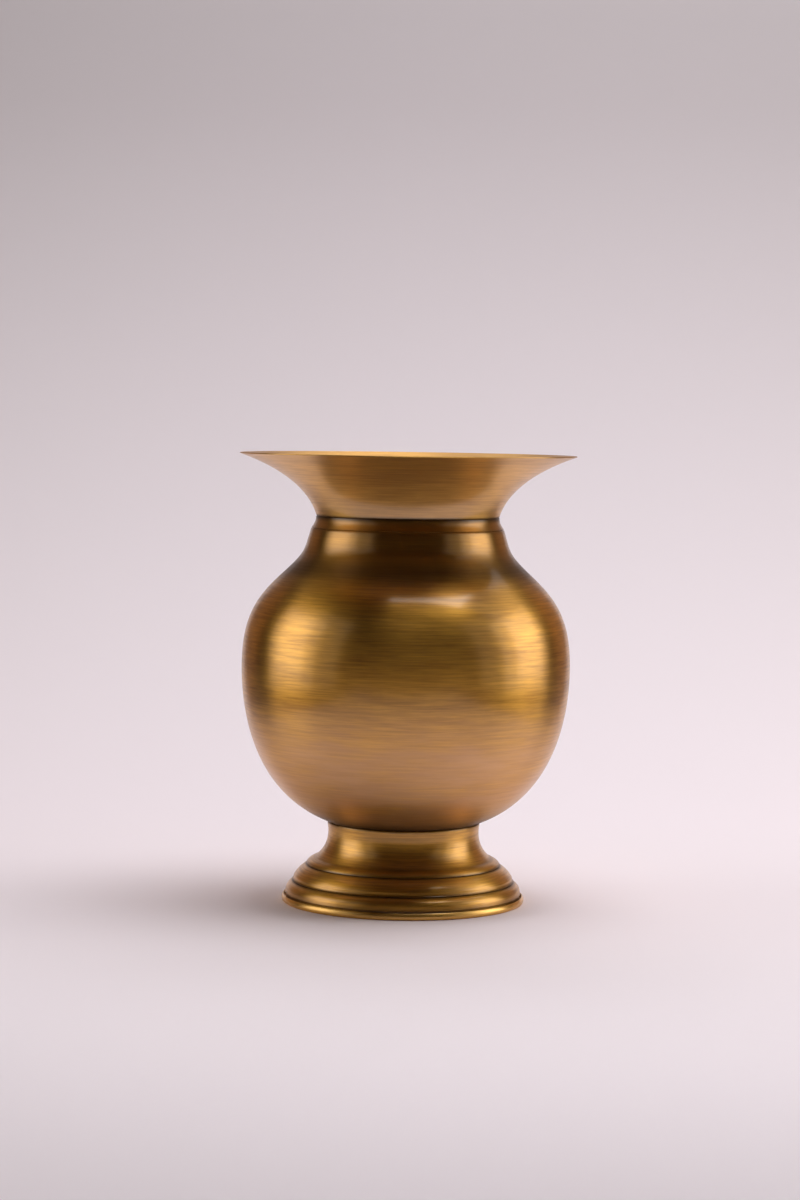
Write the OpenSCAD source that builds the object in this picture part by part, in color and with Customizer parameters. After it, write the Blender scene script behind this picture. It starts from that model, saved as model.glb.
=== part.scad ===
// Brass kalash pot: a round vessel on a turned pedestal foot, with a wide trumpet collar.
// Every piece is a body of revolution about Z, apart from the hexagon nut.
// Origin: centre of the face that the pot rests on. Millimetres, +Z up.

/* [Heights] */
// Height of the foot, from the ground to the seat of the bowl
foot_h = 45.6; // [42:0.2:50]
// Height of the round body, from its seat to the land under the neck ring
body_h = 166.2; // [150:0.2:180]
// Height of the neck ring
ring_h = 7; // [6:0.2:9]
// Height of the collar above the neck ring
collar_h = 35.2; // [30:0.2:42]

/* [Diameters] */
// Diameter of the rim of the collar
rim_d = 190.4; // [176:0.2:204]
// Diameter of the neck at the seam under the collar
neck_d = 103.6; // [96:0.2:110]
// Diameter of the body at the belly
belly_d = 186; // [176:0.2:196]
// Diameter of the foot at its top edge
foot_d = 86.6; // [82:0.2:92]
// Diameter of the skirt at the bottom of the foot
skirt_d = 133.8; // [128:0.2:140]

/* [Sheet metal] */
// Wall of the spun body and collar
wall = 1.2; // [1:0.1:1.4]
// Wall of the foot
foot_wall = 1.5; // [1.2:0.1:1.8]
// Thickness left at the edge of the rim
rim_edge = 0.5; // [0.4:0.1:0.7]
// Width of the open gap between the skirt and the lip of the base dish
lip_gap = 1; // [0.6:0.1:1.2]

/* [Fasteners] */
// Diameter of the tie rod
rod_d = 8; // [6:1:8]
// Width of the nut across its flats
nut_af = 13; // [12:0.5:13.5]
// Height of the nut
nut_h = 6.5; // [5:0.5:7]

/* [Hidden] */
$fn = 128;

bright_brass = [0.76, 0.58, 0.33];
satin_brass = [0.60, 0.43, 0.18];
dark_brass = [0.42, 0.29, 0.12];
braze_metal = [0.78, 0.68, 0.42];
plated_steel = [0.70, 0.70, 0.68];

// ---- radii and heights worked out from the driving dimensions ----
rim_r = rim_d / 2;
neck_r = neck_d / 2;
belly_r = belly_d / 2;
foot_r = foot_d / 2;
skirt_r = skirt_d / 2;
rod_r = rod_d / 2;

neck_z = foot_h + body_h;
seam_z = neck_z + ring_h;
rim_z = seam_z + collar_h;
bowl_depth = 0.532 * body_h;
belly_z = foot_h + bowl_depth;
shoulder_rise = neck_z - belly_z;

seam_bevel = 0.4;               // small bevels that make the dark lines at the seams
spigot_r = neck_r - wall;       // outside of the collar's spigot
spigot_drop = 12.8;             // how far the spigot reaches below the seam
land_r = neck_r + 2.8;          // outside of the shoulder at the neck land
register_r = land_r - wall - 0.2;
register_drop = 4.3;            // how far the ring's register reaches into the shoulder

lap_r = belly_r - wall - 0.3;   // outside of the bowl's lap inside the shoulder
lap_h = 7;

boss_r = 12;
boss_h = 11;
boss_fillet = 2.2;
web_hole_r = boss_r + boss_fillet + 0.8;

dish_sheet = 1.2;
register_foot_r = skirt_r - 0.6; // outside of the foot's register inside the dish
lip_in_r = skirt_r + lip_gap - 0.6;
lip_h = 3.9;
skirt_z = 4.5;                  // lower edge of the skirt, just above the lip
cup_r = 11.5;                   // recess under the dish for the nut
cup_z = 12.2;
washer_r = 8.5;
washer_t = 1.6;
washer_z = cup_z - washer_t;
nut_z = washer_z - nut_h;
rod_end_z = nut_z - 1.5;
rod_engage = 8.4;               // length of rod inside the boss
boss_z = foot_h - boss_h;

// ---- curves: points of [radius, height] ----

// Cubic curve from a to d with the handles b and c, in n steps
function curve(a, b, c, d, n) = [
    for (i = [0 : n])
        let (t = i / n, s = 1 - t)
        s * s * s * a + 3 * s * s * t * b + 3 * s * t * t * c + t * t * t * d
];

// Direction of a path at point i, as a unit vector
function heading(path, i) =
    let (last = len(path) - 1, step = path[min(i + 1, last)] - path[max(i - 1, 0)])
    step / norm(step);

// The inside face of a sheet whose outside face is path, drawn from top to bottom.
// Its thickness runs evenly from t_start to t_end.
function inside(path, t_start, t_end) = [
    for (i = [0 : len(path) - 1])
        let (h = heading(path, i), t = t_start + (t_end - t_start) * i / (len(path) - 1))
        path[i] + t * [h[1], -h[0]]
];

function reversed(path) = [for (i = [len(path) - 1 : -1 : 0]) path[i]];

// Outside of the collar, from the rim down to the seam
collar_out = curve(
    [rim_r, rim_z - rim_edge],
    [neck_r + 0.304 * (rim_r - neck_r), seam_z + 0.69 * collar_h],
    [neck_r + 0.067 * (rim_r - neck_r), seam_z + 0.29 * collar_h],
    [neck_r, seam_z + seam_bevel],
    20
);

// Outside of the shoulder: a hollow curve from the neck, then a full one down to the belly
turn_pt = [land_r + 0.357 * (belly_r - land_r), belly_z + 0.694 * shoulder_rise];
shoulder_out = concat(
    curve(
        [land_r, neck_z - seam_bevel],
        [land_r + 0.089 * (belly_r - land_r), belly_z + 0.856 * shoulder_rise],
        [turn_pt[0] - 0.3 * (belly_r - land_r), turn_pt[1] + 0.138 * shoulder_rise],
        turn_pt,
        14
    ),
    [for (p = [1 : 18]) curve(
        turn_pt,
        [turn_pt[0] + 0.357 * (belly_r - land_r), turn_pt[1] - 0.165 * shoulder_rise],
        [belly_r, belly_z + 0.399 * shoulder_rise],
        [belly_r, belly_z],
        18
    )[p]]
);

// Outside of the bowl, from the belly down to its seat
bowl_out = curve(
    [belly_r, belly_z],
    [belly_r, belly_z - 0.272 * bowl_depth],
    [belly_r - 6, foot_h + 0.191 * bowl_depth],
    [foot_r + 0.5, foot_h + 0.6],
    26
);

// A point of the foot, as a share of its flare and of its height
function foot_pt(u, v) = [foot_r + u * (skirt_r - foot_r), v * foot_h];

waist_out = curve(foot_pt(0, 0.98), foot_pt(-0.097, 0.746), foot_pt(0.136, 0.603), foot_pt(0.284, 0.548), 14);
bead_out = curve(foot_pt(0.284, 0.548), foot_pt(0.407, 0.526), foot_pt(0.479, 0.502), foot_pt(0.5, 0.467), 6);
ovolo_out = curve(foot_pt(0.517, 0.454), foot_pt(0.597, 0.43), foot_pt(0.733, 0.377), foot_pt(0.797, 0.311), 8);
cove_out = curve(foot_pt(0.797, 0.311), foot_pt(0.797, 0.292), foot_pt(0.809, 0.279), foot_pt(0.83, 0.268), 4);
hip_out = curve(foot_pt(0.843, 0.246), foot_pt(0.919, 0.226), foot_pt(0.983, 0.193), foot_pt(0.992, 0.143), 8);

// Bottoms of the two turned grooves
upper_groove = foot_pt(0.475, 0.46);
lower_groove = foot_pt(0.805, 0.257);

// ---- sub-parts ----

module turned(outline) {
    rotate_extrude() polygon(outline);
}

module ring_section(r_in, r_out, z_low, z_high) {
    turned([[r_in, z_low], [r_out, z_low], [r_out, z_high], [r_in, z_high]]);
}

// Trumpet mouth with a plain spigot that passes down inside the neck ring
module flared_collar() {
    face = inside(collar_out, rim_edge, wall);
    upper_face = [for (i = [1 : len(face) - 1]) face[i]];
    color(bright_brass) turned(concat(
        [[rim_r - rim_edge / 2, rim_z]],
        collar_out,
        [
            [neck_r - seam_bevel, seam_z],
            [spigot_r, seam_z],
            [spigot_r, seam_z - spigot_drop],
            [spigot_r - wall, seam_z - spigot_drop],
            [spigot_r - wall, seam_z - wall]
        ],
        reversed(upper_face)
    ));
}

// Turned ring between the collar and the shoulder, with a register inside the shoulder
module neck_ring() {
    cove = curve(
        [neck_r, seam_z - seam_bevel],
        [neck_r, seam_z - 0.37 * ring_h],
        [neck_r + 1, seam_z - 0.63 * ring_h],
        [land_r - 0.3, neck_z + seam_bevel],
        10
    );
    color(dark_brass) turned(concat(
        [[spigot_r, seam_z], [neck_r - seam_bevel, seam_z]],
        cove,
        [
            [land_r - 0.6, neck_z],
            [register_r, neck_z],
            [register_r, neck_z - register_drop],
            [spigot_r, neck_z - register_drop]
        ]
    ));
}

// Brazing metal that joins the spigot, the ring's register and the shoulder from inside
module neck_braze() {
    register_z = neck_z - register_drop;
    color(braze_metal) turned([
        [spigot_r, register_z],
        [spigot_r, register_z - 1.2],
        [register_r, register_z - 0.6],
        [register_r + 0.9, register_z + 0.4],
        [register_r + 0.3, register_z + 3],
        [register_r, register_z + 3],
        [register_r, register_z]
    ]);
}

// Upper half of the body
module shoulder_shell() {
    face = [for (p = inside(shoulder_out, wall, wall)) if (p[1] > belly_z + 1) p];
    color(satin_brass) turned(concat(
        [[land_r - wall, neck_z], [land_r - seam_bevel, neck_z]],
        shoulder_out,
        [[belly_r - wall, belly_z]],
        reversed(face)
    ));
}

// Brazing metal along the upper edge of the lap, inside the belly
module belly_braze() {
    lap_top = belly_z + lap_h;
    color(braze_metal) turned([[lap_r - 0.9, lap_top], [lap_r, lap_top], [lap_r - 0.25, lap_top + 2.2]]);
}

// Lower half of the body: closed, with a flat seat below and a lap above
module bowl_shell() {
    face = inside(bowl_out, wall, wall);
    below_lap = [for (p = face) if (p[1] < belly_z - 4) p];
    color(satin_brass) turned(concat(
        [
            [0, foot_h + wall],
            [0, foot_h],
            [foot_r - 1.1, foot_h]
        ],
        reversed(bowl_out),
        [
            [lap_r, belly_z],
            [lap_r, belly_z + lap_h],
            [lap_r - wall, belly_z + lap_h],
            [lap_r - wall, belly_z - 2.5]
        ],
        below_lap,
        [[foot_r - 1.3, foot_h + wall]]
    ));
}

// Boss brazed under the bowl. Its hole is blind, so that the bowl holds water.
module bowl_boss() {
    color(dark_brass) difference() {
        translate([0, 0, boss_z]) cylinder(r = boss_r, h = boss_h);
        translate([0, 0, boss_z - 1]) cylinder(r = rod_r, h = rod_engage + 2);
    }
}

// Fillet of brazing metal between the boss and the bowl
module boss_braze() {
    color(braze_metal) turned([[boss_r, foot_h], [boss_r, foot_h - boss_fillet], [boss_r + boss_fillet, foot_h]]);
}

// Stud that pulls the bowl, the foot and the dish together
module tie_rod() {
    color(plated_steel) translate([0, 0, rod_end_z])
        cylinder(r = rod_r, h = boss_z + rod_engage - rod_end_z);
}

// Hollow foot: flat web on top, waist, bead, two grooves, skirt, and a register inside the dish
module pedestal_foot() {
    web_z = foot_h - foot_wall;
    waist_in = [for (p = inside(waist_out, foot_wall, foot_wall)) if (p[1] < web_z - 1) p];
    color(satin_brass) turned(concat(
        [
            [web_hole_r, web_z],
            [web_hole_r, foot_h],
            [foot_r - 0.9, foot_h],
            [foot_r - 0.3, foot_h - 0.3]
        ],
        waist_out,
        bead_out,
        [upper_groove],
        ovolo_out,
        cove_out,
        [lower_groove],
        hip_out,
        [
            [skirt_r, skirt_z + 0.5],
            [skirt_r - 0.2, skirt_z],
            [register_foot_r, skirt_z],
            [register_foot_r, dish_sheet],
            [register_foot_r - foot_wall, dish_sheet],
            [register_foot_r - foot_wall, skirt_z]
        ],
        reversed(inside(hip_out, foot_wall, foot_wall)),
        reversed(inside(ovolo_out, foot_wall, foot_wall)),
        reversed(inside(bead_out, foot_wall, foot_wall)),
        reversed(waist_in),
        [[foot_r - foot_wall, web_z]]
    ));
}

// Closing plate: a lip round the skirt, a resting land, and a raised cup that hides the nut
module base_dish() {
    hole_r = rod_r + 0.4;
    land_in_r = skirt_r - 6;
    floor_z = 1.5;
    lip_out = curve(
        [lip_in_r + 0.2, 0],
        [lip_in_r + 1.8, 0.1],
        [lip_in_r + 2.1, 2.6],
        [lip_in_r + 0.7, lip_h],
        10
    );
    color(bright_brass) turned(concat(
        [
            [hole_r, cup_z],
            [cup_r, cup_z],
            [cup_r, floor_z],
            [land_in_r - floor_z, floor_z],
            [land_in_r, 0]
        ],
        lip_out,
        [
            [lip_in_r, lip_h - 0.2],
            [lip_in_r, dish_sheet],
            [land_in_r + 0.6, dish_sheet],
            [land_in_r - floor_z + 0.6, floor_z + dish_sheet],
            [cup_r + dish_sheet, floor_z + dish_sheet],
            [cup_r + dish_sheet, cup_z + dish_sheet],
            [hole_r, cup_z + dish_sheet]
        ]
    ));
}

module rod_washer() {
    color(plated_steel) ring_section(rod_r + 0.4, washer_r, washer_z, cup_z);
}

module rod_nut() {
    color(plated_steel) translate([0, 0, nut_z]) difference() {
        cylinder(d = nut_af / cos(30), h = nut_h, $fn = 6);
        translate([0, 0, -1]) cylinder(r = rod_r, h = nut_h + 2);
    }
}

flared_collar();
neck_ring();
neck_braze();
shoulder_shell();
belly_braze();
bowl_shell();
bowl_boss();
boss_braze();
tie_rod();
pedestal_foot();
base_dish();
rod_washer();
rod_nut();
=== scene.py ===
import math

import bmesh
import bpy
from mathutils import Matrix, Vector


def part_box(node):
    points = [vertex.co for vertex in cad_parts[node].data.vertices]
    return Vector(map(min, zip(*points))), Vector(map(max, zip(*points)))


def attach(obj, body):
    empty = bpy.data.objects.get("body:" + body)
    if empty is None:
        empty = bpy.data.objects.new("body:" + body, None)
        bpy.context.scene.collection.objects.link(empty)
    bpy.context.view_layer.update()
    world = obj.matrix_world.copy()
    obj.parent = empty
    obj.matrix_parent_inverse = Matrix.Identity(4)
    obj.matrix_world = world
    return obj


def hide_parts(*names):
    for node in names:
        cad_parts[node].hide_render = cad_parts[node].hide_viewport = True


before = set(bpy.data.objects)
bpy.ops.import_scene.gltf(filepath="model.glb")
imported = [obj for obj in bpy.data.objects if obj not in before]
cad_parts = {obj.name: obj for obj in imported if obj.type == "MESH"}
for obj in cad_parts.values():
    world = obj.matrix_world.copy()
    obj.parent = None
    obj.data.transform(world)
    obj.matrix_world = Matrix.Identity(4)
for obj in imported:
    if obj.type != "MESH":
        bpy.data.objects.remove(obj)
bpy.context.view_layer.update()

MM = 0.001
AROUND = 288  # facets round the axis of a turned piece
SHARP = math.radians(28)  # an edge that turns more than this isn't shaded smooth
ON_AXIS = 0.01 * MM
ANY_HEIGHT = 0.1  # a band wide enough to take in a whole CAD node

# ------------------------------------------------------------ sizes, read from the CAD frame


def top(node):
    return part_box(node)[1].z


def bottom(node):
    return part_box(node)[0].z


def radius_at(node, z, band=0.35 * MM):
    """Largest radius of a CAD node close to the height z."""
    near = [v.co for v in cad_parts[node].data.vertices if abs(v.co.z - z) < band]
    return max(math.hypot(co.x, co.y) for co in near)


def half_width(node):
    """Half of a node's width, as its box has it, so that no visible piece is wider than the CAD model."""
    low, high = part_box(node)
    return min(-low.x, high.x, -low.y, high.y)


WALL = 1.2 * MM
FOOT_WALL = 1.5 * MM
DISH_SHEET = 1.2 * MM
RIM_EDGE = 0.5 * MM
SEAM_BEVEL = 0.4 * MM
LIP_H = 3.9 * MM  # height of the base dish's lip
SKIRT_BOTTOM = 4.5 * MM  # where the skirt of the foot steps in behind the lip

seat_z = bottom("bowl_shell")
belly_z = bottom("shoulder_shell")
neck_z = top("shoulder_shell")
seam_z = top("neck_ring")
rim_z = top("flared_collar")
bowl_depth = belly_z - seat_z
shoulder_rise = neck_z - belly_z
ring_h = seam_z - neck_z
collar_h = rim_z - seam_z

rim_r = half_width("flared_collar")
neck_r = radius_at("flared_collar", seam_z + SEAM_BEVEL)
land_r = radius_at("shoulder_shell", neck_z - SEAM_BEVEL)
belly_r = half_width("shoulder_shell")
foot_r = radius_at("pedestal_foot", 0.98 * seat_z)
skirt_r = half_width("pedestal_foot")
lip_r = half_width("base_dish")
spigot_r = radius_at("flared_collar", bottom("flared_collar"))
lap_r = radius_at("bowl_shell", top("bowl_shell"))

# ------------------------------------------------------------ outlines: points of (radius, height)


def point(r, z):
    return Vector((r, z))


def curve(a, b, c, d, steps):
    """A cubic curve from a to d with the handles b and c."""
    points = []
    for i in range(steps + 1):
        t = i / steps
        s = 1 - t
        points.append(a * s**3 + b * 3 * s * s * t + c * 3 * s * t * t + d * t**3)
    return points


def inside(path, start, end):
    """The inside face of a sheet whose outside face is path, drawn from top to bottom."""
    last = len(path) - 1
    face = []
    for i, p in enumerate(path):
        along = (path[min(i + 1, last)] - path[max(i - 1, 0)]).normalized()
        thickness = start + (end - start) * i / last
        face.append(p + thickness * point(along.y, -along.x))
    return face


def eased(before, corner, after, size, steps=4):
    """A small rounded corner that starts and ends size away from the sharp one."""
    a = corner + (before - corner).normalized() * size
    b = corner + (after - corner).normalized() * size
    return curve(a, a.lerp(corner, 0.66), b.lerp(corner, 0.66), b, steps)


def collar_face():
    flare = rim_r - neck_r
    return curve(
        point(rim_r, rim_z - RIM_EDGE),
        point(neck_r + 0.304 * flare, seam_z + 0.69 * collar_h),
        point(neck_r + 0.067 * flare, seam_z + 0.29 * collar_h),
        point(neck_r, seam_z + SEAM_BEVEL),
        72,
    )


def shoulder_face():
    swell = belly_r - land_r
    turn = point(land_r + 0.357 * swell, belly_z + 0.694 * shoulder_rise)
    hollow = curve(
        point(land_r, neck_z - SEAM_BEVEL),
        point(land_r + 0.089 * swell, belly_z + 0.856 * shoulder_rise),
        turn + point(-0.3 * swell, 0.138 * shoulder_rise),
        turn,
        48,
    )
    full = curve(
        turn,
        turn + point(0.357 * swell, -0.165 * shoulder_rise),
        point(belly_r, belly_z + 0.399 * shoulder_rise),
        point(belly_r, belly_z),
        60,
    )
    return hollow + full[1:]


def bowl_face():
    return curve(
        point(belly_r, belly_z),
        point(belly_r, belly_z - 0.272 * bowl_depth),
        point(belly_r - 6 * MM, seat_z + 0.191 * bowl_depth),
        point(foot_r + 0.5 * MM, seat_z + 0.6 * MM),
        96,
    )


def foot_point(u, v):
    """A point of the foot, as a share of its flare and of its height."""
    return point(foot_r + u * (skirt_r - foot_r), v * seat_z)


def foot_curve(handles, steps):
    return curve(*[foot_point(u, v) for u, v in handles], steps)


WAIST = foot_curve([(0, 0.98), (-0.097, 0.746), (0.136, 0.603), (0.284, 0.548)], 44)
BEAD = foot_curve([(0.284, 0.548), (0.407, 0.526), (0.479, 0.502), (0.5, 0.467)], 16)
OVOLO = foot_curve([(0.517, 0.454), (0.597, 0.43), (0.733, 0.377), (0.797, 0.311)], 22)
COVE = foot_curve([(0.797, 0.311), (0.797, 0.292), (0.809, 0.279), (0.83, 0.268)], 8)
HIP = foot_curve([(0.843, 0.246), (0.919, 0.226), (0.983, 0.193), (0.992, 0.143)], 20)
UPPER_GROOVE = foot_point(0.475, 0.46)
LOWER_GROOVE = foot_point(0.805, 0.257)


def collar_outline():
    outer = collar_face()
    inner = inside(outer, RIM_EDGE, WALL)
    bore_r = spigot_r - WALL
    spigot_z = bottom("flared_collar")
    return (
        [point(rim_r - RIM_EDGE / 2, rim_z)]
        + outer
        + [
            point(neck_r - SEAM_BEVEL, seam_z),
            point(spigot_r, seam_z),
            point(spigot_r, spigot_z),
            point(bore_r, spigot_z),
            point(bore_r, seam_z - WALL),
        ]
        + inner[:0:-1]
    )


def ring_outline():
    register_r = radius_at("neck_ring", bottom("neck_ring"))
    cove = curve(
        point(neck_r, seam_z - SEAM_BEVEL),
        point(neck_r, seam_z - 0.37 * ring_h),
        point(neck_r + 1 * MM, seam_z - 0.63 * ring_h),
        point(land_r - 0.3 * MM, neck_z + SEAM_BEVEL),
        32,
    )
    return (
        [point(spigot_r, seam_z), point(neck_r - SEAM_BEVEL, seam_z)]
        + cove
        + [
            point(land_r - 0.6 * MM, neck_z),
            point(register_r, neck_z),
            point(register_r, bottom("neck_ring")),
            point(spigot_r, bottom("neck_ring")),
        ]
    )


def shoulder_outline():
    outer = shoulder_face()
    inner = [p for p in inside(outer, WALL, WALL) if p.y > belly_z + 0.5 * MM]
    return (
        [point(land_r - WALL, neck_z), point(land_r - SEAM_BEVEL, neck_z)]
        + outer
        + [point(belly_r - WALL, belly_z)]
        + inner[::-1]
    )


def bowl_outline():
    outer = bowl_face()
    inner = [p for p in inside(outer, WALL, WALL) if p.y < belly_z - 4 * MM]
    lap_top = top("bowl_shell")
    return (
        [point(0, seat_z + WALL), point(0, seat_z), point(foot_r - 1.1 * MM, seat_z)]
        + outer[::-1]
        + [
            point(lap_r, belly_z),
            point(lap_r, lap_top),
            point(lap_r - WALL, lap_top),
            point(lap_r - WALL, belly_z - 2.5 * MM),
        ]
        + inner
        + [point(foot_r - 1.3 * MM, seat_z + WALL)]
    )


def foot_outline():
    web_z = seat_z - FOOT_WALL
    hole_r = radius_at("bowl_boss", seat_z) + 3 * MM
    register_r = skirt_r - 0.6 * MM
    crown = eased(point(hole_r, seat_z), point(foot_r - 0.05 * MM, seat_z), WAIST[1], 0.9 * MM)
    waist_in = [p for p in inside(WAIST, FOOT_WALL, FOOT_WALL) if p.y < web_z - 1 * MM]
    return (
        [point(hole_r, web_z), point(hole_r, seat_z)]
        + crown
        + WAIST[1:]
        + BEAD[1:]
        + [UPPER_GROOVE]
        + OVOLO
        + COVE[1:]
        + [LOWER_GROOVE]
        + HIP
        + [
            point(skirt_r, SKIRT_BOTTOM + 0.5 * MM),
            point(skirt_r - 0.2 * MM, SKIRT_BOTTOM),
            point(register_r, SKIRT_BOTTOM),
            point(register_r, DISH_SHEET),
            point(register_r - FOOT_WALL, DISH_SHEET),
            point(register_r - FOOT_WALL, SKIRT_BOTTOM),
        ]
        + inside(HIP, FOOT_WALL, FOOT_WALL)[::-1]
        + inside(OVOLO, FOOT_WALL, FOOT_WALL)[::-1]
        + inside(BEAD, FOOT_WALL, FOOT_WALL)[::-1]
        + waist_in[::-1]
        + [point(foot_r - FOOT_WALL, web_z)]
    )


def dish_outline():
    lip_in_r = skirt_r + 0.4 * MM
    land_in_r = skirt_r - 6 * MM
    floor_z = 1.5 * MM
    cup_r = 11.5 * MM
    cup_z = top("rod_washer")
    hole_r = radius_at("tie_rod", cup_z, ANY_HEIGHT) + 0.4 * MM
    lip_out = curve(
        point(lip_in_r + 0.2 * MM, 0),
        point(lip_in_r + 1.8 * MM, 0.1 * MM),
        point(lip_in_r + 2.1 * MM, 2.6 * MM),
        point(lip_in_r + 0.7 * MM, LIP_H),
        28,
    )
    rim = eased(lip_out[-2], point(lip_in_r + 0.35 * MM, LIP_H + 0.05 * MM), point(lip_in_r, 0), 0.3 * MM)
    return (
        [
            point(hole_r, cup_z),
            point(cup_r, cup_z),
            point(cup_r, floor_z),
            point(land_in_r - floor_z, floor_z),
            point(land_in_r, 0),
        ]
        + lip_out
        + rim
        + [
            point(lip_in_r, DISH_SHEET),
            point(land_in_r + 0.6 * MM, DISH_SHEET),
            point(land_in_r - floor_z + 0.6 * MM, floor_z + DISH_SHEET),
            point(cup_r + DISH_SHEET, floor_z + DISH_SHEET),
            point(cup_r + DISH_SHEET, cup_z + DISH_SHEET),
            point(hole_r, cup_z + DISH_SHEET),
        ]
    )


# ------------------------------------------------------------ turned meshes


def nearness(p, marks):
    """The strength of the nearest mark, fading away from it. marks holds (point, reach, strength)."""
    return max([s * math.exp(-(((p - c).length / reach) ** 2)) for c, reach, s in marks], default=0)


def turned(name, outline, dirt_and_shade_marks, hollows):
    """A closed piece of revolution about Z.

    Its mesh carries three attributes for the materials: the length along the outline, the dirt and painted
    shade of the creases, and the painted shade of the hollows.
    """
    verts = []
    rings = []
    lengths = []
    dirt_and_painted_shade_values = []
    painted_shade_values = []
    run = 0
    for i, p in enumerate(outline):
        if i:
            run += (p - outline[i - 1]).length
        count = 1 if p.x < ON_AXIS else AROUND
        rings.append(range(len(verts), len(verts) + count))
        for k in range(count):
            angle = 2 * math.pi * k / AROUND
            verts.append((p.x * math.cos(angle), p.x * math.sin(angle), p.y))
        lengths += [run] * count
        dirt_and_painted_shade_values += [nearness(p, dirt_and_shade_marks)] * count
        painted_shade_values += [nearness(p, hollows)] * count
    faces = []
    for a, b in zip(rings, rings[1:] + rings[:1]):
        if len(a) == len(b) == 1:
            continue
        for k in range(AROUND):
            n = (k + 1) % AROUND
            if len(a) == 1:
                faces.append((a[0], b[n], b[k]))
            elif len(b) == 1:
                faces.append((a[k], a[n], b[0]))
            else:
                faces.append((a[k], a[n], b[n], b[k]))
    mesh = bpy.data.meshes.new(name)
    mesh.from_pydata(verts, [], faces)
    for key, values in (("along", lengths), ("dirt_and_painted_shade", dirt_and_painted_shade_values), ("painted_shade", painted_shade_values)):
        mesh.attributes.new(key, "FLOAT", "POINT").data.foreach_set("value", values)
    made = bmesh.new()
    made.from_mesh(mesh)
    bmesh.ops.recalc_face_normals(made, faces=made.faces)
    made.to_mesh(mesh)
    made.free()
    mesh.shade_smooth()
    mesh.set_sharp_from_angle(angle=SHARP)
    piece = bpy.data.objects.new(name, mesh)
    bpy.context.scene.collection.objects.link(piece)
    return piece


# ------------------------------------------------------------ materials


class Nodes:
    """Short ways to add and join the nodes of one material."""

    def __init__(self, name):
        self.material = bpy.data.materials.new(name)
        self.material.use_nodes = True
        self.tree = self.material.node_tree
        self.shader = self.tree.nodes["Principled BSDF"]

    def add(self, kind, **settings):
        node = self.tree.nodes.new(kind)
        for key, value in settings.items():
            setattr(node, key, value)
        return node

    def join(self, source, target):
        self.tree.links.new(source, target)

    def math(self, operation, a, b):
        """a and b are numbers or sockets."""
        node = self.add("ShaderNodeMath", operation=operation)
        for socket, value in zip(node.inputs, (a, b)):
            if isinstance(value, (int, float)):
                socket.default_value = value
            else:
                self.join(value, socket)
        return node.outputs[0]

    def ramp(self, value, low, high, out_low=0.0, out_high=1.0):
        """Carries value from the range low..high to out_low..out_high, and no further."""
        node = self.add("ShaderNodeMapRange")
        for key, number in (("From Min", low), ("From Max", high), ("To Min", out_low), ("To Max", out_high)):
            node.inputs[key].default_value = number
        self.join(value, node.inputs["Value"])
        return node.outputs["Result"]

    def mix(self, factor, a, b):
        """Colour a where factor is 0, b where it is 1."""
        node = self.add("ShaderNodeMix", data_type="RGBA")
        self.join(factor, node.inputs["Factor"])
        for socket, value in zip((node.inputs[6], node.inputs[7]), (a, b)):
            if isinstance(value, tuple):
                socket.default_value = (*value, 1)
            else:
                self.join(value, socket)
        return node.outputs[2]

    def noise(self, vector, scale, detail, rough=0.5):
        node = self.add("ShaderNodeTexNoise")
        node.inputs["Scale"].default_value = scale
        node.inputs["Detail"].default_value = detail
        node.inputs["Roughness"].default_value = rough
        self.join(vector, node.inputs["Vector"])
        return node.outputs["Fac"]

    def bump(self, height, strength, distance):
        node = self.add("ShaderNodeBump")
        node.inputs["Strength"].default_value = strength
        node.inputs["Distance"].default_value = distance
        self.join(height, node.inputs["Height"])
        self.join(node.outputs[0], self.shader.inputs["Normal"])


# Waves in a metre of the noise patterns: round the axis, and across the brushing.
FINE_LINES = (60, 2600)
COARSE_LINES = (34, 800)
CLOUDS = (18, 70)
GRAIN = 900  # the same in every direction

LINE_RELIEF = 0.16
LINE_DEPTH = 0.12 * MM
LINE_WEAR = 0.10  # how far the lines change the roughness
GRAIN_WEAR = 0.05
GRIME_ROUGHNESS = 0.25
HOLLOW_POLISH = -0.05

ANISOTROPY = 0.8  # of the brushing under the lacquer
QUARTER_TURN = 0.25  # turns the stretched gloss across the lines
COAT_ROUGHNESS = 0.17
COAT_IOR = 1.5
COAT_FADE = (0.28, 0.58)  # Layer Weight between the full lacquer and the faint one
COAT_FAINT = 0.12  # where the surface turns away

PAINTED_HOLLOW_SHADE = (0.30, 0.145, 0.024)  # painted shade: a browner, darker brass painted into the hollows under the neck, where the reflections fall dark
DIRT_AND_PAINTED_SHADE_COLOUR = (0.03, 0.012, 0.003)  # dirt in the creases, and painted shade where the marks reach wide: a band on the shoulder and low on the bowl


def uneven(n, cloud, low, high):
    """Varies between low and high with the clouds."""
    return n.ramp(cloud, 0.3, 0.7, low, high)


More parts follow.
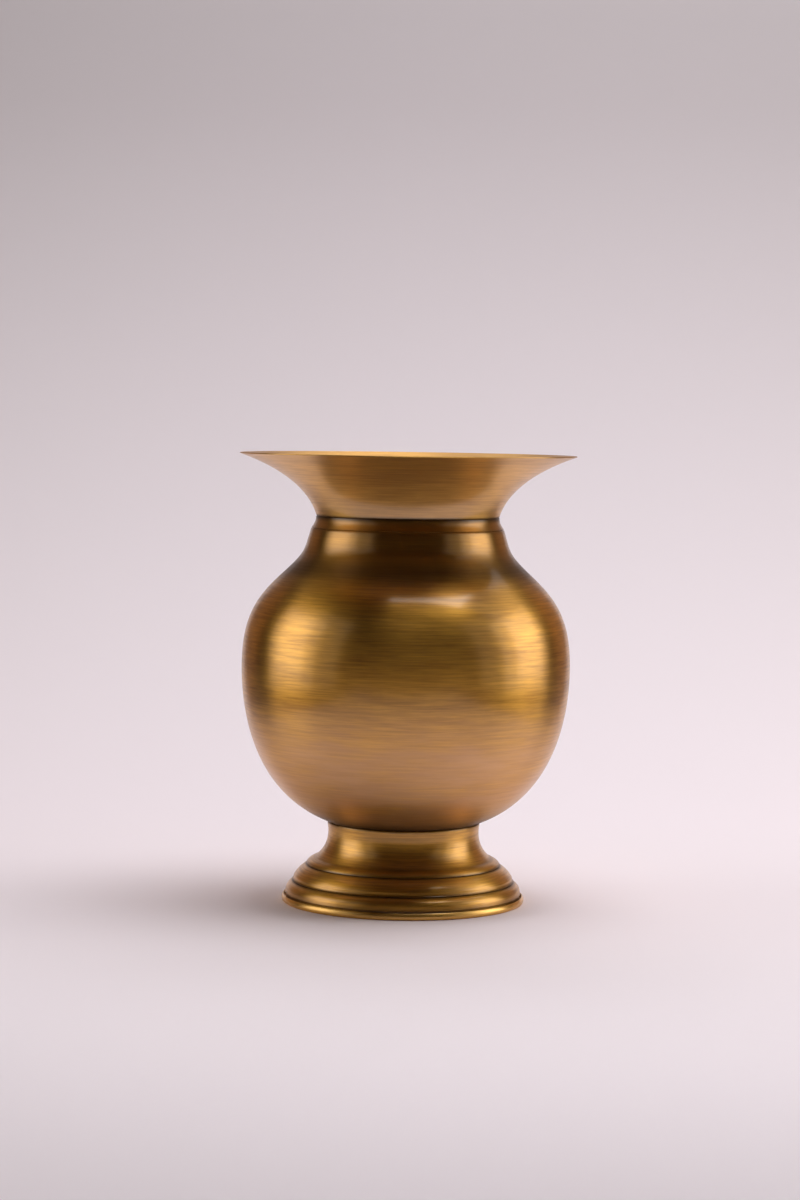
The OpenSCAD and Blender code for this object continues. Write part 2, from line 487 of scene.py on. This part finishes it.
def brass_colour(n, height, marks, noises, colours, patina, patina_and_painted_reflection):
    """Bright brass under dark lines and clouds, then the patina with painted floor reflection, the painted
    shade of the hollows, and the dirt with painted shade.
    """
    fine, coarse, cloud = noises
    dirt_and_painted_shade, painted_shade = marks
    bright, dark = colours
    line_tone = n.ramp(n.math("ADD", n.math("MULTIPLY", fine, 0.5), coarse), 0.6, 0.9)
    cloud_tone = n.ramp(cloud, 0.35, 0.68)
    tone = n.math("MULTIPLY", n.math("ADD", line_tone, cloud_tone), patina)
    base = n.mix(tone, bright, dark)
    if patina_and_painted_reflection:
        # patina low on the bowl, and painted reflection of the pale floor, fading out upwards
        patina_and_reflection_colour, low, high = patina_and_painted_reflection
        fade = n.ramp(height, low, high, 1.0, 0.0)
        base = n.mix(n.math("MULTIPLY", fade, uneven(n, cloud, 0.3, 0.9)), base, patina_and_reflection_colour)
    # painted shade: the hollows turn to a browner, darker brass
    base = n.mix(n.math("MULTIPLY", painted_shade, uneven(n, cloud, 0.95, 0.75)), base, PAINTED_HOLLOW_SHADE)
    # dirt in the creases, and painted shade on the shoulder band and low on the bowl
    dirt_and_shade_amount = n.math("MULTIPLY", dirt_and_painted_shade, uneven(n, cloud, 1.0, 0.85))
    return n.mix(dirt_and_shade_amount, base, DIRT_AND_PAINTED_SHADE_COLOUR)


def brass(name, bright, dark, roughness, patina=0.35, patina_and_painted_reflection=None, coat=COAT_IOR):
    """Lacquered antique brass, brushed round the axis: fine turned lines, cloudy patina, creases dark with
    dirt and painted shade, painted shade in the hollows.

    patina is how strongly dark shows in bright, patina_and_painted_reflection a tint of patina and painted
    floor reflection (colour, low, high) that is full below the height low and gone above high, and coat the
    refractive index of the lacquer.
    """
    n = Nodes(name)
    place = n.add("ShaderNodeTexCoord").outputs["Object"]
    split = n.add("ShaderNodeSeparateXYZ")
    n.join(place, split.inputs[0])
    along = n.add("ShaderNodeAttribute", attribute_name="along").outputs["Fac"]
    dirt_and_painted_shade = n.add("ShaderNodeAttribute", attribute_name="dirt_and_painted_shade").outputs["Fac"]
    painted_shade = n.add("ShaderNodeAttribute", attribute_name="painted_shade").outputs["Fac"]

    def band(around, across):
        """A vector that makes noise long round the axis and short across the brushing."""
        node = n.add("ShaderNodeCombineXYZ")
        n.join(n.math("MULTIPLY", split.outputs["X"], around), node.inputs["X"])
        n.join(n.math("MULTIPLY", split.outputs["Y"], around), node.inputs["Y"])
        n.join(n.math("MULTIPLY", along, across), node.inputs["Z"])
        return node.outputs[0]

    fine = n.noise(band(*FINE_LINES), 1.0, 3, 0.6)
    coarse = n.noise(band(*COARSE_LINES), 1.0, 3, 0.6)
    cloud = n.noise(band(*CLOUDS), 1.0, 4, 0.6)
    speck = n.noise(place, GRAIN, 2, 0.5)

    height = split.outputs["Z"]
    colour = brass_colour(n, height, (dirt_and_painted_shade, painted_shade), (fine, coarse, cloud), (bright, dark), patina, patina_and_painted_reflection)
    n.join(colour, n.shader.inputs["Base Color"])

    wear = n.math("ADD", n.math("MULTIPLY", coarse, LINE_WEAR), n.math("MULTIPLY", speck, GRAIN_WEAR))
    mean_wear = (LINE_WEAR + GRAIN_WEAR) / 2
    polish = n.math("MULTIPLY", painted_shade, HOLLOW_POLISH)
    rough = n.math("ADD", n.math("ADD", wear, polish), roughness - mean_wear)
    rough = n.math("ADD", rough, n.math("MULTIPLY", dirt_and_painted_shade, GRIME_ROUGHNESS))
    n.join(rough, n.shader.inputs["Roughness"])

    relief = n.math("ADD", fine, n.math("MULTIPLY", coarse, 1.5))
    n.bump(relief, LINE_RELIEF, LINE_DEPTH)

    tangent = n.add("ShaderNodeTangent", direction_type="RADIAL", axis="Z")
    n.join(tangent.outputs[0], n.shader.inputs["Tangent"])
    n.shader.inputs["Metallic"].default_value = 1.0
    n.shader.inputs["Anisotropic"].default_value = ANISOTROPY
    n.shader.inputs["Anisotropic Rotation"].default_value = QUARTER_TURN
    facing = n.add("ShaderNodeLayerWeight").outputs["Facing"]
    n.join(n.ramp(facing, *COAT_FADE, 1.0, COAT_FAINT), n.shader.inputs["Coat Weight"])
    n.shader.inputs["Coat Roughness"].default_value = COAT_ROUGHNESS
    n.shader.inputs["Coat IOR"].default_value = coat
    return n.material


PLAIN_CLOUDS = 160  # waves in a metre
PLAIN_GRAIN = 2400


def plain_metal(name, bright, dark, roughness):
    """Metal of the hidden pieces: cloudy colour, fine grain and a little bump."""
    n = Nodes(name)
    place = n.add("ShaderNodeTexCoord").outputs["Object"]
    cloud = n.noise(place, PLAIN_CLOUDS, 4, 0.6)
    grain = n.noise(place, PLAIN_GRAIN, 2, 0.5)
    n.join(n.mix(n.ramp(cloud, 0.35, 0.65), bright, dark), n.shader.inputs["Base Color"])
    n.join(n.ramp(grain, 0.3, 0.7, roughness - 0.08, roughness + 0.08), n.shader.inputs["Roughness"])
    n.bump(grain, 0.2, 0.1 * MM)
    n.shader.inputs["Metallic"].default_value = 1.0
    return n.material


PAPER_GRAIN = 700  # waves in a metre
PAPER_FAR = 0.62  # the height at which the backdrop reaches its far colour, darker as painted shade


def paper(name, near, far):
    """Seamless paper: near is its colour on the floor, far its colour high on the backdrop, darker there as
    painted shade.

    From behind and below it is left out of the picture, so that the pot is seen from every side.
    """
    n = Nodes(name)
    place = n.add("ShaderNodeTexCoord").outputs["Object"]
    split = n.add("ShaderNodeSeparateXYZ")
    n.join(place, split.inputs[0])
    # painted shade: the paper darkens with height
    height = n.ramp(split.outputs["Z"], 0.0, PAPER_FAR)
    grain = n.noise(place, PAPER_GRAIN, 3, 0.6)
    n.join(n.mix(height, near, far), n.shader.inputs["Base Color"])
    n.join(n.ramp(grain, 0.3, 0.7, 0.8, 0.9), n.shader.inputs["Roughness"])
    n.shader.inputs["Specular IOR Level"].default_value = 0.2
    seen = n.add("ShaderNodeLightPath").outputs["Is Camera Ray"]
    behind = n.add("ShaderNodeNewGeometry").outputs["Backfacing"]
    clear = n.add("ShaderNodeBsdfTransparent")
    both = n.add("ShaderNodeMixShader")
    n.join(n.math("MULTIPLY", seen, behind), both.inputs["Fac"])
    n.join(n.shader.outputs[0], both.inputs[1])
    n.join(clear.outputs[0], both.inputs[2])
    n.join(both.outputs[0], n.tree.nodes["Material Output"].inputs["Surface"])
    return n.material


# ------------------------------------------------------------ pieces


def dress(piece, material):
    piece.data.materials.clear()
    piece.data.materials.append(material)


def build_piece(name, node, outline, material, dirt_and_shade_marks=(), hollows=()):
    """A fine turned mesh that stands for a CAD node."""
    piece = turned(name, outline, dirt_and_shade_marks, hollows)
    dress(piece, material)
    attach(piece, "root")
    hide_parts(node)
    return piece


BODY = {"bright": (0.72, 0.372, 0.056), "dark": (0.20, 0.075, 0.015), "roughness": 0.35}
PATINA_AND_FLOOR_REFLECTION = (0.66, 0.37, 0.17)  # a pinkish patina on the lower belly, and in part painted reflection of the pale floor
patina_reflection_low = seat_z + 0.5 * bowl_depth
patina_reflection_high = seat_z + 0.85 * bowl_depth

shoulder_metal = brass("shoulder_brass", **BODY)
bowl_metal = brass("bowl_brass", **BODY, patina_and_painted_reflection=(PATINA_AND_FLOOR_REFLECTION, patina_reflection_low, patina_reflection_high))
collar_metal = brass("collar_brass", (0.74, 0.41, 0.10), (0.32, 0.15, 0.045), 0.38, patina=0.3, coat=1.75)
# the ring's darker brass is painted shade: the band sits in the dark hollow under the collar
ring_painted_dark_metal = brass("ring_brass", (0.58, 0.28, 0.05), (0.12, 0.045, 0.01), 0.38)
foot_metal = brass("foot_brass", (0.68, 0.355, 0.052), (0.18, 0.07, 0.012), 0.38)
dish_metal = brass("dish_brass", (0.86, 0.50, 0.11), (0.34, 0.16, 0.035), 0.34, patina=0.25)
braze_metal = plain_metal("braze", (0.62, 0.50, 0.27), (0.36, 0.25, 0.12), 0.42)
boss_metal = plain_metal("boss_brass", (0.50, 0.34, 0.13), (0.26, 0.15, 0.05), 0.35)
steel = plain_metal("plated_steel", (0.62, 0.62, 0.60), (0.42, 0.41, 0.38), 0.32)

seam = point(neck_r, seam_z)
land = point(land_r, neck_z)
seat_edge = point(foot_r, seat_z)
lip_gap = point(skirt_r, LIP_H)
neck_hollow = shoulder_face()[30]  # low on the hollow curve under the neck
shoulder_painted_shade_line = shoulder_face()[45]  # near that curve's lower end, the middle of a band of painted shade

# Each crease and hollow is a place on the outline, its reach from there and its strength. The creases get
# dirt and painted shade, the hollows painted shade.

build_piece(
    "collar", "flared_collar", collar_outline(), collar_metal, dirt_and_shade_marks=[(seam, 0.8 * MM, 1)]
)
build_piece(
    "ring",
    "neck_ring",
    ring_outline(),
    ring_painted_dark_metal,
    dirt_and_shade_marks=[(seam, 1.9 * MM, 1), (land, 1.0 * MM, 0.35)],
    # painted shade in the hollow under the collar
    hollows=[(land, 12 * MM, 1)],
)
build_piece(
    "shoulder",
    "shoulder_shell",
    shoulder_outline(),
    shoulder_metal,
    # the second mark is a wide band of painted shade on the shoulder, not a crease
    dirt_and_shade_marks=[(land, 1.2 * MM, 0.35), (shoulder_painted_shade_line, 11 * MM, 0.8)],
    # painted shade in the hollow under the neck
    hollows=[(land, 9 * MM, 1), (neck_hollow, 14 * MM, 1)],
)
build_piece(
    # a wide mark of painted shade low on the bowl, beside the foot
    "bowl", "bowl_shell", bowl_outline(), bowl_metal, dirt_and_shade_marks=[(seat_edge, 17 * MM, 1)]
)
build_piece(
    "foot",
    "pedestal_foot",
    foot_outline(),
    foot_metal,
    dirt_and_shade_marks=[
        (seat_edge, 0.7 * MM, 1),
        (BEAD[0], 2.0 * MM, 0.3),
        (UPPER_GROOVE, 1.2 * MM, 1),
        (LOWER_GROOVE, 1.2 * MM, 1),
        (lip_gap, 1.2 * MM, 1),
    ],
)
build_piece("dish", "base_dish", dish_outline(), dish_metal, dirt_and_shade_marks=[(lip_gap, 0.6 * MM, 1)])

for node in ("neck_braze", "belly_braze", "boss_braze"):
    dress(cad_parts[node], braze_metal)
dress(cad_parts["bowl_boss"], boss_metal)
for node in ("tie_rod", "rod_washer", "rod_nut"):
    dress(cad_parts[node], steel)

# ------------------------------------------------------------ stage, camera and light

FLOOR_FRONT = -0.68
SWEEP_START = 0.36  # where the floor begins to rise behind the pot
SWEEP_R = 0.55
SWEEP_STEPS = 32
STAGE_W = 0.82
WALL_TOP = 1.1
FLOOR_COLOUR = (0.92, 0.84, 0.91)
# painted shade: the backdrop's colour high up, darker as if the light fell off
PAINTED_DIM_WALL_COLOUR = (0.63, 0.58, 0.615)


def build_stage():
    """Floor and backdrop in one sheet, with a round sweep between them."""
    side = [(FLOOR_FRONT, 0.0), (SWEEP_START, 0.0)]
    for i in range(1, SWEEP_STEPS + 1):
        angle = math.radians(90) * i / SWEEP_STEPS
        side.append((SWEEP_START + SWEEP_R * math.sin(angle), SWEEP_R * (1 - math.cos(angle))))
    side.append((SWEEP_START + SWEEP_R, WALL_TOP))
    verts = [(x, y, z) for y, z in side for x in (-STAGE_W / 2, STAGE_W / 2)]
    faces = [(2 * i, 2 * i + 1, 2 * i + 3, 2 * i + 2) for i in range(len(side) - 1)]
    mesh = bpy.data.meshes.new("backdrop")
    mesh.from_pydata(verts, [], faces)
    mesh.shade_smooth()
    sheet = bpy.data.objects.new("backdrop", mesh)
    bpy.context.scene.collection.objects.link(sheet)
    dress(sheet, paper("paper", FLOOR_COLOUR, PAINTED_DIM_WALL_COLOUR))


pot_h = rim_z
CAMERA_DISTANCE = 6.443 * pot_h
CAMERA_Z = 1.084 * pot_h
CAMERA_SHIFT_X = -0.0149 * pot_h
PITCH = 3.635  # degrees below level
ROLL = 0.799
SENSOR_H = 36  # millimetres, as the lens is
LENS = 86.88


def build_camera():
    camera = bpy.data.cameras.new("camera")
    camera.sensor_fit = "VERTICAL"
    camera.sensor_height = SENSOR_H
    camera.lens = LENS
    camera.clip_end = 50
    holder = bpy.data.objects.new("camera", camera)
    bpy.context.scene.collection.objects.link(holder)
    turn = Matrix.Rotation(math.radians(90 - PITCH), 4, "X") @ Matrix.Rotation(math.radians(ROLL), 4, "Z")
    holder.matrix_world = Matrix.Translation((CAMERA_SHIFT_X, -CAMERA_DISTANCE, CAMERA_Z)) @ turn
    bpy.context.scene.camera = holder


def panel(name, place, target, width, tall, watts, colour=(1, 1, 1)):
    """A soft rectangular light that the pot reflects and the camera doesn't see. It faces target."""
    lamp = bpy.data.lights.new(name, "AREA")
    lamp.shape = "RECTANGLE"
    lamp.size = width
    lamp.size_y = tall
    lamp.energy = watts
    lamp.color = colour
    holder = bpy.data.objects.new(name, lamp)
    bpy.context.scene.collection.objects.link(holder)
    holder.location = place
    holder.rotation_euler = (target - holder.location).to_track_quat("-Z", "Y").to_euler()
    holder.visible_camera = False
    return holder


def softbox(name, azimuth, elevation, distance, width, tall, watts, colour=(1, 1, 1)):
    """A panel that faces the middle of the pot.

    azimuth and elevation are in degrees. Azimuth 0 is in front of the pot, 90 to its right.
    """
    a, e = math.radians(azimuth), math.radians(elevation)
    way = Vector((math.sin(a) * math.cos(e), -math.cos(a) * math.cos(e), math.sin(e)))
    middle = Vector((0, 0, pot_h / 2))
    panel(name, middle + distance * way, middle, width, tall, watts, colour)


CEILING = 1.5


def downlight(name, x, y, width, tall, watts):
    """A panel at the ceiling that faces straight down."""
    return panel(name, Vector((x, y, CEILING)), Vector((x, y, 0)), width, tall, watts)


SOFT_WHITE = (1.0, 0.96, 0.88)
WARM = (1.0, 0.58, 0.30)  # the colour of the room at the sides of the backdrop
NARROW = math.radians(30)  # the beam of the light on the floor in front of the pot


def build_lights():
    """At each side three panels, one in the other, so that the highlights fade out at their edges."""
    softbox("left_core", -87, 14, 1.28, 0.60, 0.85, 1.6, SOFT_WHITE)
    softbox("left_box", -87, 14, 1.32, 1.05, 1.10, 2.8, SOFT_WHITE)
    softbox("left_halo", -76, 17, 1.5, 1.7, 1.5, 2.8, SOFT_WHITE)
    softbox("right_core", 95, 14, 1.28, 0.60, 0.85, 2.3, SOFT_WHITE)
    softbox("right_box", 92, 14, 1.32, 1.10, 1.10, 3.4, SOFT_WHITE)
    softbox("right_halo", 80, 18, 1.5, 1.7, 1.5, 2.5, SOFT_WHITE)
    softbox("right_high", 100, 52, 1.3, 0.9, 0.9, 1.0)
    softbox("back_high", 172, 58, 1.3, 1.5, 0.50, 5.2)
    softbox("left_room", -142, 12, 1.3, 0.8, 0.9, 0.6, WARM)
    softbox("right_room", 142, 12, 1.3, 0.8, 0.9, 0.8, WARM)
    downlight("overhead", 0.28, -0.06, 0.94, 0.72, 10.0)
    floor_light = downlight("floor_light", 0.26, -0.34, 0.9, 0.3, 0.5)
    floor_light.data.spread = NARROW


ROOM_DARK = (0.02, 0.014, 0.01, 1)
ROOM_PALE = (0.62, 0.55, 0.58, 1)


def build_room():
    """Dark to the pot and its lights, pale behind the pot where the camera looks past the paper."""
    world = bpy.data.worlds.new("room")
    world.use_nodes = True
    tree = world.node_tree
    dark = tree.nodes["Background"]
    dark.inputs["Color"].default_value = ROOM_DARK
    pale = tree.nodes.new("ShaderNodeBackground")
    pale.inputs["Color"].default_value = ROOM_PALE
    seen = tree.nodes.new("ShaderNodeLightPath")
    both = tree.nodes.new("ShaderNodeMixShader")
    tree.links.new(seen.outputs["Is Camera Ray"], both.inputs["Fac"])
    tree.links.new(dark.outputs[0], both.inputs[1])
    tree.links.new(pale.outputs[0], both.inputs[2])
    tree.links.new(both.outputs[0], tree.nodes["World Output"].inputs["Surface"])
    bpy.context.scene.world = world


build_stage()
build_camera()
build_lights()
build_room()
bpy.context.scene.view_settings.view_transform = "Standard"
